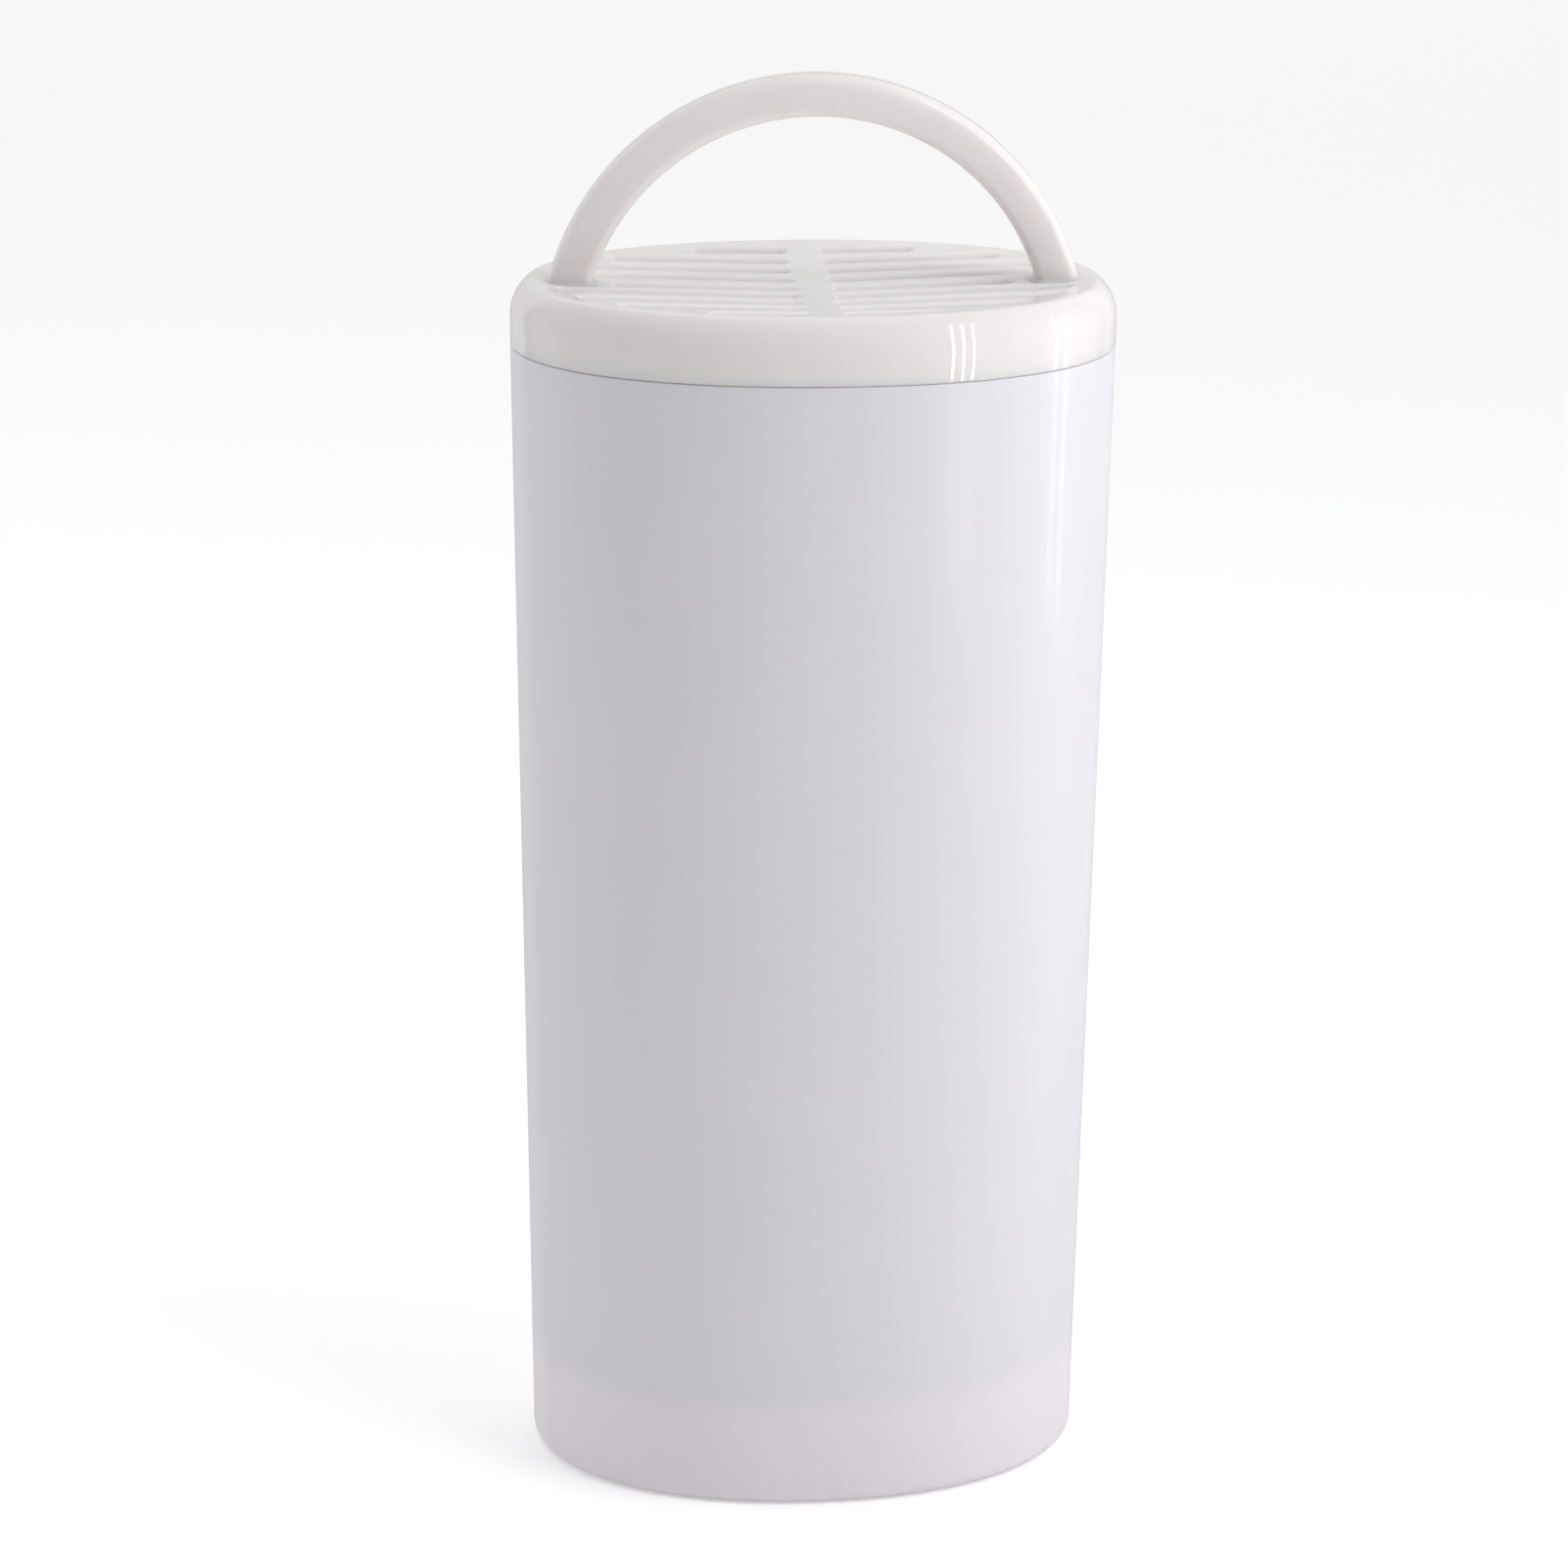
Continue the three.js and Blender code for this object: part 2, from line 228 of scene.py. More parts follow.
def slot_walls(slot, radius, lips, top, bottom):
    """Rings down one slot. The lip above is a quarter circle that rounds in, the wall drops, and the lip
    below is a quarter circle that rounds out; lips holds their two radii."""
    angle = np.linspace(0, np.pi / 2, LIP_STEPS + 1)
    rings = []
    for turn in angle:
        plan = slot_loop(slot, radius + lips[0] * (1 - math.sin(turn)))
        rings.append(np.column_stack([plan, top(*plan.T) - lips[0] * (1 - math.cos(turn))]))
    for turn in angle[::-1]:
        plan = slot_loop(slot, radius + lips[1] * (1 - math.sin(turn)))
        rings.append(np.column_stack([plan, bottom(*plan.T) + lips[1] * (1 - math.cos(turn))]))
    return np.concatenate(rings), grid_faces(len(rings), len(rings[0]))


def slot_rows(half, pitch, width, rib, reach_at=None):
    """Slots in rows along X inside an oval of those half sizes, on both sides of the rib at x = 0."""
    end = width / 2
    each_side = int((half[1] - end) // pitch)
    slots = []
    for row in range(-each_side, each_side + 1):
        y = row * pitch
        reach = half[0] * (1 - (abs(y) / half[1]) ** OVAL_POWER) ** (1 / OVAL_POWER)
        if reach_at:
            reach = min(reach, reach_at(y))
        near, far = rib / 2 + end, reach - end
        if far - near >= width:
            slots.append((near, far, y))
            slots.append((-far, -near, y))
    return slots


def finish_mesh(name, patches, sharp_angle=35):
    """Joins patches of (points, faces), merges the doubles along their shared edges and shades the result
    smooth, apart from edges sharper than sharp_angle degrees."""
    points, faces, start = [], [], 0
    for patch_points, patch_faces in patches:
        points.append(patch_points)
        faces += (np.asarray(patch_faces) + start).tolist()
        start += len(patch_points)
    mesh = bpy.data.meshes.new(name)
    mesh.from_pydata(np.concatenate(points), [], faces)
    piece = bpy.data.objects.new(name, mesh)
    scene.collection.objects.link(piece)
    tidy = bmesh.new()
    tidy.from_mesh(mesh)
    bmesh.ops.remove_doubles(tidy, verts=tidy.verts, dist=MERGE_DISTANCE)
    open_edges = sum(1 for edge in tidy.edges if len(edge.link_faces) != 2)
    volume = tidy.calc_volume(signed=True)
    tidy.to_mesh(mesh)
    tidy.free()
    mesh.shade_smooth()
    mesh.set_sharp_from_angle(angle=math.radians(sharp_angle))
    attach(piece, "root")
    volume_cm3 = volume / MM**3 / 1000
    print(f"{name}: {len(mesh.polygons)} faces, open edges {open_edges}, volume {volume_cm3:.2f} cm3")
    return piece


def fan(ring):
    """Triangles that close a ring of points with a point at its centre."""
    count = len(ring)
    i = np.arange(count)
    points = np.concatenate([ring, [ring.mean(axis=0)]])
    return points, np.stack([i, (i + 1) % count, np.full(count, count)], axis=1)


def closed_rings(rings):
    """Patches of a row of rings, an array of rings by points by 3, with a fan over each end."""
    walls = rings.reshape(-1, 3), grid_faces(*rings.shape[:2])
    return [walls, fan(rings[0][::-1]), fan(rings[-1])]


# %% [markdown]
# The housing is a thin moulded cup. A moulding has no sharp outer edges, so the profile rounds the foot,
# the rim and the inner corner. Its base is the outlet grid: slots in rows, split by a rib, each with
# softened lips. The profile starts at the edge of the flat base outside, climbs the wall, turns over
# the rim and goes down to the edge of the floor inside.

# %% Housing
FOOT_FILLET = 1.5 * MM
FLOOR = 1.8 * MM
RIM_ROUND = 0.2 * MM
FLOOR_CORNER = 1.0 * MM
SLOT_PITCH = 4.0 * MM
SLOT_WIDTH = 1.1 * MM
SLOT_LIP = 0.35 * MM
RIB_WIDTH = 4.2 * MM
BASE_GRID_MARGIN = 6 * MM
WALL_RINGS = 24


def quarter(steps=8):
    """Angles of a quarter turn."""
    return np.linspace(0, np.pi / 2, steps + 1)


def profile_rows(heights, insets):
    """Rows of half length, half width and height at distances inside the housing's outside."""
    half = housing_half(np.asarray(heights)[:, None])
    return np.column_stack([half - np.asarray(insets)[:, None], heights])


def build_housing():
    turn = quarter()
    foot = profile_rows(FOOT_FILLET * (1 - np.cos(turn)), FOOT_FILLET * (1 - np.sin(turn)))
    climb = np.linspace(FOOT_FILLET, MOUTH_Z - RIM_ROUND, WALL_RINGS)[1:-1]
    side = profile_rows(climb, 0 * climb)
    rim_out = profile_rows(MOUTH_Z - RIM_ROUND * (1 - np.sin(turn)), RIM_ROUND * (1 - np.cos(turn)))
    rim_in = profile_rows(MOUTH_Z - RIM_ROUND * (1 - np.cos(turn)), WALL - RIM_ROUND * (1 - np.sin(turn)))
    descent = np.linspace(MOUTH_Z - RIM_ROUND, FLOOR + FLOOR_CORNER, WALL_RINGS)[1:-1]
    inside = profile_rows(descent, 0 * descent + WALL)
    corner_z = FLOOR + FLOOR_CORNER * (1 - np.sin(turn))
    corner = profile_rows(corner_z, WALL + FLOOR_CORNER * (1 - np.cos(turn)))
    profile = np.concatenate([foot, side, rim_out, rim_in, inside, corner])
    points, faces = oval_rings(profile)
    slots = slot_rows(BASE_HALF - BASE_GRID_MARGIN, SLOT_PITCH, SLOT_WIDTH, RIB_WIDTH)
    lip_radius = SLOT_WIDTH / 2 + SLOT_LIP
    under = lambda x, y: 0 * x
    floor = lambda x, y: 0 * x + FLOOR
    patches = [(points, faces)]
    patches.append(slotted_sheet(unit_oval() * profile[0, :2], slots, lip_radius, under, -1))
    patches.append(slotted_sheet(unit_oval() * profile[-1, :2], slots, lip_radius, floor, 1))
    patches += [slot_walls(slot, SLOT_WIDTH / 2, (SLOT_LIP, SLOT_LIP), floor, under) for slot in slots]
    return finish_mesh("housing_shell", patches)


housing = build_housing()
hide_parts("housing")

# %% [markdown]
# The cap is one moulding: a grille plate that is dished like a shallow saucer, a shoulder, a short
# upright side that runs flush with the housing, and a spigot that plugs into the housing's mouth. The
# shoulder is an arc that stops short of level, so it meets the dish in a crease. The crease is softened
# by a small curve, a quadratic Bezier across the corner.

# %% Grille cap
SHOULDER_RADIUS = 4.6 * MM
SHOULDER_ANGLE = math.radians(56)
CREASE_SOFTNESS = 0.35 * MM
DISH_DEPTH = 1.2 * MM
PLATE_THICKNESS = 1.5 * MM
GRILLE_MARGIN = 2.6 * MM
GRILLE_LIPS = (0.8 * MM, 0.3 * MM)
DISH_POINT_SPACING = 1.3 * MM
SHOULDER_RINGS = 13
CREASE_RINGS = 7
PLATE_UNDERSIDE = CREASE_Z - DISH_DEPTH - PLATE_THICKNESS
SPIGOT_BOTTOM = cap_low.z
SHOULDER_INSET = SHOULDER_RADIUS * (1 - math.cos(SHOULDER_ANGLE))
CREASE_HALF = MOUTH_HALF - SHOULDER_INSET
MIDDLE_ROW_REACH = 21.0 * MM


def dish(x, y):
    """Height of the grille's top: it rises with the square of the distance from the centre, counted in
    shares of the oval, so it is level with the crease all round."""
    across, along = np.abs(x / CREASE_HALF[0]), np.abs(y / CREASE_HALF[1])
    share = (across**OVAL_POWER + along**OVAL_POWER) ** (1 / OVAL_POWER)
    return CREASE_Z - DISH_DEPTH * (1 - share**2)


def build_cap():
    turn = np.linspace(0, SHOULDER_ANGLE, SHOULDER_RINGS)
    half = MOUTH_HALF
    inset = SHOULDER_RADIUS * (1 - np.cos(turn))
    rise = CREASE_Z - SHOULDER_RADIUS * (math.sin(SHOULDER_ANGLE) - np.sin(turn))
    shoulder = np.column_stack([half[0] - inset, half[1] - inset, rise])
    low_round = RIM_ROUND * (1 - np.sin(quarter()))
    low_rise = CAP_BOTTOM + RIM_ROUND * (1 - np.cos(quarter()))
    bottom_edge = np.column_stack([half[0] - low_round, half[1] - low_round, low_rise])
    spigot_inset = WALL + CLEARANCE
    spigot_tip = SPIGOT_BOTTOM + RIM_ROUND * (1 - np.sin(quarter()))
    spigot = profile_rows(np.array([SPIGOT_BOTTOM + RIM_ROUND, CAP_BOTTOM]), [spigot_inset, spigot_inset])
    tip_out = profile_rows(spigot_tip[::-1], spigot_inset + RIM_ROUND * (1 - np.cos(quarter()))[::-1])
    cavity_inset = spigot_inset + SPIGOT_WALL
    inner = profile_rows(np.array([SPIGOT_BOTTOM]), [cavity_inset])
    cavity_top = [[half[0] - cavity_inset, half[1] - cavity_inset, PLATE_UNDERSIDE]]
    start, end = crease_ends(shoulder)
    blend = np.linspace(0, 1, CREASE_RINGS)[:, None]
    corner = np.array([*CREASE_HALF, CREASE_Z])
    crease = (1 - blend) ** 2 * start + 2 * blend * (1 - blend) * corner + blend**2 * end
    profile = np.concatenate([cavity_top, inner, tip_out, spigot[1:], bottom_edge, shoulder[:-2], crease])
    points, faces = oval_rings(profile)
    slots = slot_rows(CREASE_HALF - GRILLE_MARGIN, SLOT_PITCH, SLOT_WIDTH, RIB_WIDTH, row_reach)
    underside = lambda x, y: 0 * x + PLATE_UNDERSIDE
    above, below = (SLOT_WIDTH / 2 + lip for lip in GRILLE_LIPS)
    patches = [(points, faces)]
    patches.append(slotted_sheet(unit_oval() * profile[-1, :2], slots, above, dish, 1, DISH_POINT_SPACING))
    patches.append(slotted_sheet(unit_oval() * profile[0, :2], slots, below, underside, -1))
    patches += [slot_walls(slot, SLOT_WIDTH / 2, GRILLE_LIPS, dish, underside) for slot in slots]
    return finish_mesh("grille_cap_moulding", patches)


def crease_ends(shoulder):
    """Where the crease's small curve leaves the shoulder and where it joins the dish."""
    share = 1 - CREASE_SOFTNESS / CREASE_HALF[1]
    return shoulder[-2], np.array([*CREASE_HALF * share, CREASE_Z - DISH_DEPTH * (1 - share**2)])


def row_reach(y):
    """The middle row stops short of the handle's feet."""
    return MIDDLE_ROW_REACH if abs(y) < SLOT_PITCH / 2 else math.inf


cap = build_cap()
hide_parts("grille_cap")

# %% [markdown]
# The handle is an arched bar. Its outer and inner edges are two arcs about one centre. A cross-section
# line joins a point of the outer arc to a point of the inner arc. The line is radial at the top and
# turns level by the time it reaches the grille, so the foot sits flat. There the bar flares in a small
# concave fillet and sinks a hair into the dish, which leaves no seam.

# %% Carry handle
HANDLE_THICKNESS = 4.4 * MM
HANDLE_EDGE = 1.1 * MM
FOOT_REACH = 27.87 * MM
FOOT_FILLET_RADIUS = 0.6 * MM
FOOT_SINK = 0.3 * MM
HANDLE_RINGS = 160
RING_CROWDING = 1.3
CORNER_STEPS = 8
handle_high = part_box("carry_handle")[1]
HANDLE_HALF_DEPTH = handle_high.y
HANDLE_RISE = handle_high.z - CREASE_Z
OUTER_RADIUS = (FOOT_REACH**2 + HANDLE_RISE**2) / (2 * HANDLE_RISE)
INNER_RADIUS = OUTER_RADIUS - HANDLE_THICKNESS
ARC_CENTRE_Z = handle_high.z - OUTER_RADIUS


def rounded_bar(half_thickness, half_depth, corner):
    """Sections of the bar: four quarter circles of the corner radius, for columns of half sizes."""
    across, along = [], []
    turn = quarter(CORNER_STEPS)
    for start, sign_u, sign_v in ((0, 1, 1), (1, -1, 1), (2, -1, -1), (3, 1, -1)):
        angle = turn + start * np.pi / 2
        across.append(sign_u * (half_thickness - corner) + corner * np.cos(angle))
        along.append(sign_v * (half_depth - corner) + corner * np.sin(angle))
    return np.concatenate(across, axis=1), np.concatenate(along, axis=1)


def build_handle():
    """Sections along the arcs, crowded towards the feet, each widened by the fillet's flare at its height."""
    foot_x = FOOT_REACH - HANDLE_THICKNESS / 2
    foot_z = float(dish(foot_x, 0.0)) - FOOT_SINK
    turn = np.linspace(-1, 1, HANDLE_RINGS)[:, None]
    turn = np.sign(turn) * (1 - (1 - np.abs(turn)) ** RING_CROWDING)
    outer_end = math.asin((foot_z - ARC_CENTRE_Z) / OUTER_RADIUS)
    inner_end = math.asin((foot_z - ARC_CENTRE_Z) / INNER_RADIUS)
    outer_angle = np.pi / 2 - turn * (np.pi / 2 - outer_end)
    inner_angle = np.pi / 2 - turn * (np.pi / 2 - inner_end)
    outer = np.hstack([OUTER_RADIUS * np.cos(outer_angle), ARC_CENTRE_Z + OUTER_RADIUS * np.sin(outer_angle)])
    inner = np.hstack([INNER_RADIUS * np.cos(inner_angle), ARC_CENTRE_Z + INNER_RADIUS * np.sin(inner_angle)])
    middle = (outer + inner) / 2
    half_thickness = np.linalg.norm(outer - inner, axis=1, keepdims=True) / 2
    direction = (outer - inner) / (2 * half_thickness)
    height = np.clip(middle[:, 1:] - foot_z - FOOT_SINK, 0, FOOT_FILLET_RADIUS)
    flare = FOOT_FILLET_RADIUS - np.sqrt(FOOT_FILLET_RADIUS**2 - (FOOT_FILLET_RADIUS - height) ** 2)
    across, along = rounded_bar(half_thickness + flare, HANDLE_HALF_DEPTH + flare, HANDLE_EDGE + flare)
    points = np.stack([
        middle[:, :1] + direction[:, :1] * across,
        along,
        middle[:, 1:] + direction[:, 1:] * across,
    ], axis=-1)
    return finish_mesh("carry_handle_moulding", closed_rings(points[::-1]))


handle = build_handle()
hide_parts("carry_handle")

# %% [markdown]
# Inside, the filling lies in layers that fit the tapered housing: a mesh screen on the base, a felt pad,
# ion-exchange beads, a felt pad, carbon granules, a felt pad, and a mesh screen under the grille. Each
# layer is one ring grid, carried across its bottom, up its side and back across its top. The surface is
# then sunk by a formula, so a felt pad gets its soft unevenness and a bed gets its grains. Separate grains,
# tens of thousands of them, would say no more, since only the outside of a bed shows.

# %% Helpers for the layers
LAYER_INSET = WALL + CLEARANCE
GRAIN_TABLE = 4096
GRAIN_KEYS = (73, 179, 283)
RIPPLE_WAVES = 24


def ripple(points, wavelength, seed):
    """Sum of cosine waves in seeded random directions, mostly between -1 and 1."""
    rng = np.random.default_rng(seed)
    direction = rng.normal(size=(RIPPLE_WAVES, 3))
    direction *= 2 * np.pi / wavelength / np.linalg.norm(direction, axis=1, keepdims=True)
    phase = rng.uniform(0, 2 * np.pi, RIPPLE_WAVES)
    return np.cos(points @ direction.T + phase).sum(axis=1) / math.sqrt(RIPPLE_WAVES)


def grain_distance(points, pitch, seed):
    """Distance to the nearest grain centre, in shares of the pitch. Each cell of a cubic grid holds one
    centre, moved to a seeded place in it, so the 27 cells about a point are searched."""
    offsets = np.random.default_rng(seed).uniform(0.1, 0.9, (GRAIN_TABLE, 3))
    cell = np.floor(points / pitch).astype(int)
    nearest = np.full(len(points), np.inf)
    for step in np.ndindex(3, 3, 3):
        neighbour = cell + np.array(step) - 1
        key = (neighbour * GRAIN_KEYS).sum(axis=1) % GRAIN_TABLE
        gap = np.linalg.norm(points / pitch - neighbour - offsets[key], axis=1)
        nearest = np.minimum(nearest, gap)
    return nearest


def layer_rings(node, edge, spacing, steps=5):
    """Rings over a layer: out along its bottom, up its side and back along its top, with rounded edges."""
    low, high = (corner.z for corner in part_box(node))
    turn = quarter(steps)
    side = np.linspace(low + edge, high - edge, max(3, int((high - low) / spacing)))[1:-1]
    heights = np.concatenate([low + edge * (1 - np.cos(turn)), side, high - edge * (1 - np.sin(turn))])
    insets = np.concatenate([edge * (1 - np.sin(turn)), 0 * side, edge * (1 - np.cos(turn))])
    rows = profile_rows(heights, insets + LAYER_INSET)
    share = np.linspace(0, 1, int(rows[0, 0] / spacing))[1:-1, None]
    bottom = np.column_stack([rows[0, :2] * share, np.full(len(share), low)])
    top = np.column_stack([rows[-1, :2] * share[::-1], np.full(len(share), high)])
    profile = np.concatenate([bottom, rows, top])
    points, _ = oval_rings(profile)
    return points.reshape(len(profile), -1, 3)


def sink(rings, depth):
    """Moves every point inwards by depth(points), along the normal of the ring grid."""
    along = np.roll(rings, -1, axis=1) - np.roll(rings, 1, axis=1)
    normal = np.cross(along, np.gradient(rings, axis=0))
    normal /= np.linalg.norm(normal, axis=2, keepdims=True)
    return rings - depth(rings.reshape(-1, 3)).reshape(*rings.shape[:2], 1) * normal


# %% Felt pads
FELT_EDGE = 0.8 * MM
FELT_SPACING = 1.0 * MM
FELT_SWELL = 0.16 * MM
SWELL_LENGTH = 9 * MM
TUFT_LENGTH = 2.2 * MM


def felt_depth(points):
    """Two ripples, one of long soft swells and one of short tufts."""
    return FELT_SWELL * (2 + ripple(points, SWELL_LENGTH, 3) + 0.5 * ripple(points, TUFT_LENGTH, 4)).clip(0)


def add_pad(node):
    rings = sink(layer_rings(node, FELT_EDGE, FELT_SPACING), felt_depth)
    pad = finish_mesh(f"{node}_felt", closed_rings(rings), 60)
    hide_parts(node)
    return pad


pads = [add_pad(node) for node in ("outlet_pad", "separator_pad", "inlet_pad")]

# %% Beds of grains
BED_EDGE = 1.2 * MM
BED_SPACING = 0.6 * MM
BEAD_PITCH = 1.3 * MM
BEAD_RELIEF = 0.6
GRANULE_PITCH = 1.9 * MM
GRANULE_RELIEF = 0.35
GRANULE_SKIN = 0.03
GRANULE_SKIN_LENGTH = 0.9 * MM


def bead_depth(points):
    """Round beads: the surface drops away from each centre as a sphere does."""
    distance = grain_distance(points, BEAD_PITCH, 5)
    return BEAD_PITCH * BEAD_RELIEF * (1 - np.sqrt((1 - distance**2).clip(0)))


def granule_depth(points):
    """Broken granules: the surface drops evenly from each centre, with a rough skin."""
    distance = grain_distance(points, GRANULE_PITCH, 6)
    skin = GRANULE_SKIN * (2 + ripple(points, GRANULE_SKIN_LENGTH, 7))
    return GRANULE_PITCH * (GRANULE_RELIEF * distance + skin).clip(0)


def add_bed(node, name, depth):
    bed = finish_mesh(name, closed_rings(sink(layer_rings(node, BED_EDGE, BED_SPACING), depth)), 80)
    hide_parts(node)
    return bed


resin = add_bed("resin_bed", "resin_bead_bed", bead_depth)
carbon = add_bed("carbon_bed", "carbon_granule_bed", granule_depth)

# %% [markdown]
# The two screens are discs of woven nylon mesh, cut to the oval and clamped flat. The lower one covers
# the base. The upper one lies under the grille, and is notched at both ends to clear the blocks that hold
# the handle's pegs. A sheet's outline is given as a plan, and the disc gets a top, a bottom and an edge.

# %% Mesh screens
SCREEN_POINT_SPACING = 2.0 * MM
SCREEN_WAVE = 0.04 * MM
SCREEN_WAVE_LENGTH = 7 * MM
NOTCH_NEAR = 21.7 * MM
NOTCH_HALF = 3.5 * MM


def screen_patches(outline, node, keep=None):
    """A thin disc: top, underside and edge wall over one outline, waved gently inside its thickness."""
    low, high = (corner.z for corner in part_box(node))
    turn = 2 * np.pi / SCREEN_WAVE_LENGTH
    wave = lambda x, y: SCREEN_WAVE * (1 - np.cos(turn * x) * np.cos(turn * y))
    under = lambda x, y: low + wave(x, y)
    top = lambda x, y: high - 2 * SCREEN_WAVE + wave(x, y)
    lower = slotted_sheet(outline, [], 0, under, -1, SCREEN_POINT_SPACING, keep)
    upper = slotted_sheet(outline, [], 0, top, 1, SCREEN_POINT_SPACING, keep)
    rim = np.concatenate([np.column_stack([outline, level(*outline.T)]) for level in (under, top)])
    return [lower, upper, (rim, grid_faces(2, len(outline)))]


def notched_oval(half):
    """The oval outline, counter-clockwise, with a square notch cut into both ends."""
    ring = unit_oval() * half
    edge = half[0] * (1 - (NOTCH_HALF / half[1]) ** OVAL_POWER) ** (1 / OVAL_POWER)
    corners = [(edge, -NOTCH_HALF), (NOTCH_NEAR, -NOTCH_HALF), (NOTCH_NEAR, NOTCH_HALF), (edge, NOTCH_HALF)]
    notch = np.array(corners)
    return np.concatenate([ring[ring[:, 1] > NOTCH_HALF], -notch, ring[ring[:, 1] < -NOTCH_HALF], notch])


def plan_area(outline):
    """Area inside a closed outline, by the shoelace rule."""
    x, y = outline.T
    return abs(np.dot(x, np.roll(y, -1)) - np.dot(y, np.roll(x, -1))) / 2


def add_screen(node, outline, keep=None):
    screen = finish_mesh(f"{node}_mesh", screen_patches(outline, node, keep))
    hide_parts(node)
    flat = tuple(2 * np.abs(outline).max(axis=0))
    size = f"{flat[0] / MM:.1f} x {flat[1] / MM:.1f} mm"
    print(f"{node}: cut from {size}, area {plan_area(outline) * 1e4:.1f} cm2")
    return screen


def outside_notch(plan):
    """True where a point lies clear of both notches."""
    return (np.abs(plan[:, 0]) < NOTCH_NEAR) | (np.abs(plan[:, 1]) > NOTCH_HALF)


outlet_half = housing_half(screen_low.z) - LAYER_INSET
inlet_half = MOUTH_HALF - WALL - 2 * CLEARANCE - SPIGOT_WALL
outlet_screen = add_screen("outlet_screen", unit_oval() * outlet_half)
inlet_screen = add_screen("inlet_screen", notched_oval(inlet_half), outside_notch)

# %% [markdown]
# The finishes come next. Each effect that several materials need is a node group, built once: the skin of
# a moulding, felt fibre, a woven net, and grains. A group gives only colours, masks and heights that
# change over the surface. All read Object coordinates, in metres, so a scale of 1000 is one millimetre.

# %% Node helpers
PER_MM = 1000


def add_node(tree, kind, inputs=None, **settings):
    """A node with its settings, whose inputs are plain values or the sockets that feed them."""
    node = tree.nodes.new(kind)
    for name, value in settings.items():
        setattr(node, name, value)
    for name, value in (inputs or {}).items():
        if isinstance(value, bpy.types.NodeSocket):
            tree.links.new(value, node.inputs[name])
        else:
            node.inputs[name].default_value = value
    return node


def maths(tree, operation, first, second=0.0):
    return add_node(tree, "ShaderNodeMath", {0: first, 1: second}, operation=operation).outputs[0]


def mix_colour(tree, factor, first, second, blend="MIX"):
    node = add_node(tree, "ShaderNodeMix", data_type="RGBA", blend_type=blend, clamp_factor=True)
    for socket, value in zip((node.inputs[0], node.inputs[6], node.inputs[7]), (factor, first, second)):
        if isinstance(value, bpy.types.NodeSocket):
            tree.links.new(value, socket)
        else:
            socket.default_value = value
    return node.outputs[2]


def map_range(tree, value, low, high, to_low=0.0, to_high=1.0, smooth=True):
    kind = "SMOOTHSTEP" if smooth else "LINEAR"
    inputs = {"Value": value, "From Min": low, "From Max": high, "To Min": to_low, "To Max": to_high}
    return add_node(tree, "ShaderNodeMapRange", inputs, interpolation_type=kind).outputs["Result"]


def object_point(tree):
    return add_node(tree, "ShaderNodeTexCoord").outputs["Object"]


def new_group(name, inputs, outputs):
    """A node group; inputs are (name, kind, value) and outputs are (name, kind)."""
    group = bpy.data.node_groups.new(name, "ShaderNodeTree")
    for label, kind, value in inputs:
        socket = group.interface.new_socket(label, in_out="INPUT", socket_type=f"NodeSocket{kind}")
        socket.default_value = value
    for label, kind in outputs:
        group.interface.new_socket(label, in_out="OUTPUT", socket_type=f"NodeSocket{kind}")
    start = group.nodes.new("NodeGroupInput")
    end = group.nodes.new("NodeGroupOutput")
    return group, start.outputs, end.inputs


def place_group(tree, group, **inputs):
    """The group as a node in a tree; an input's underscores stand for spaces."""
    node = add_node(tree, "ShaderNodeGroup")
    node.node_tree = group
    for name, value in inputs.items():
        socket = node.inputs[name.replace("_", " ")]
        if isinstance(value, bpy.types.NodeSocket):
            tree.links.new(value, socket)
        else:
            socket.default_value = value
    return node.outputs


def new_material(name, roughness, **constants):
    """A material with its Principled shader, whose constants go straight onto the shader's sockets."""
    material = bpy.data.materials.new(name)
    material.use_nodes = True
    tree = material.node_tree
    shader = tree.nodes["Principled BSDF"]
    shader.inputs["Roughness"].default_value = roughness
    for label, value in constants.items():
        shader.inputs[label.replace("_", " ")].default_value = value
    return material, tree, shader


def noise(tree, point, scale, detail, distortion=0.0):
    """A noise texture's value, from 0 to 1 about a half."""
    inputs = {"Vector": point, "Scale": scale, "Detail": detail, "Distortion": distortion}
    return add_node(tree, "ShaderNodeTexNoise", inputs).outputs["Fac"]


def cell_pattern(tree, point, scale):
    """Distance to the nearest centre of a cell pattern, and two random values that each cell has."""
    cells = add_node(tree, "ShaderNodeTexVoronoi", {"Vector": point, "Scale": scale})
    chosen = add_node(tree, "ShaderNodeSeparateColor", {"Color": cells.outputs["Color"]})
    return cells.outputs["Distance"], chosen.outputs[0], chosen.outputs[1]


def add_bump(tree, shader, height, distance):
    """Feeds a height, in shares of the distance, to the shader's normal."""
    node = add_node(tree, "ShaderNodeBump", {"Height": height, "Distance": distance, "Strength": 1.0})
    tree.links.new(node.outputs["Normal"], shader.inputs["Normal"])


def dress(material, *pieces):
    for piece in pieces:
        piece.data.materials.clear()
        piece.data.materials.append(material)


# %% [markdown]
# A moulding's skin is nearly flat, but never perfectly so. Its white drifts a little from place to place,
# the wall has a faint long wave where the plastic shrank, the steel's polish leaves a fine grain, and a
# few dark specks of dust are caught in it. The group makes those four things.

# %% Group: skin of a moulding
DRIFT_RANGE = (0.3, 0.7)
SPECK_CELLS = 0.16 * PER_MM
SPECK_SMALLEST = 0.35
SPECK_COVER = 0.8
SHRINK_WAVES = 0.11 * PER_MM
POLISH_GRAIN = 1.6 * PER_MM
POLISH_HEIGHT = 0.012
SCUFFS = 0.25 * PER_MM
SCUFF_RANGE = (0.45, 0.75)


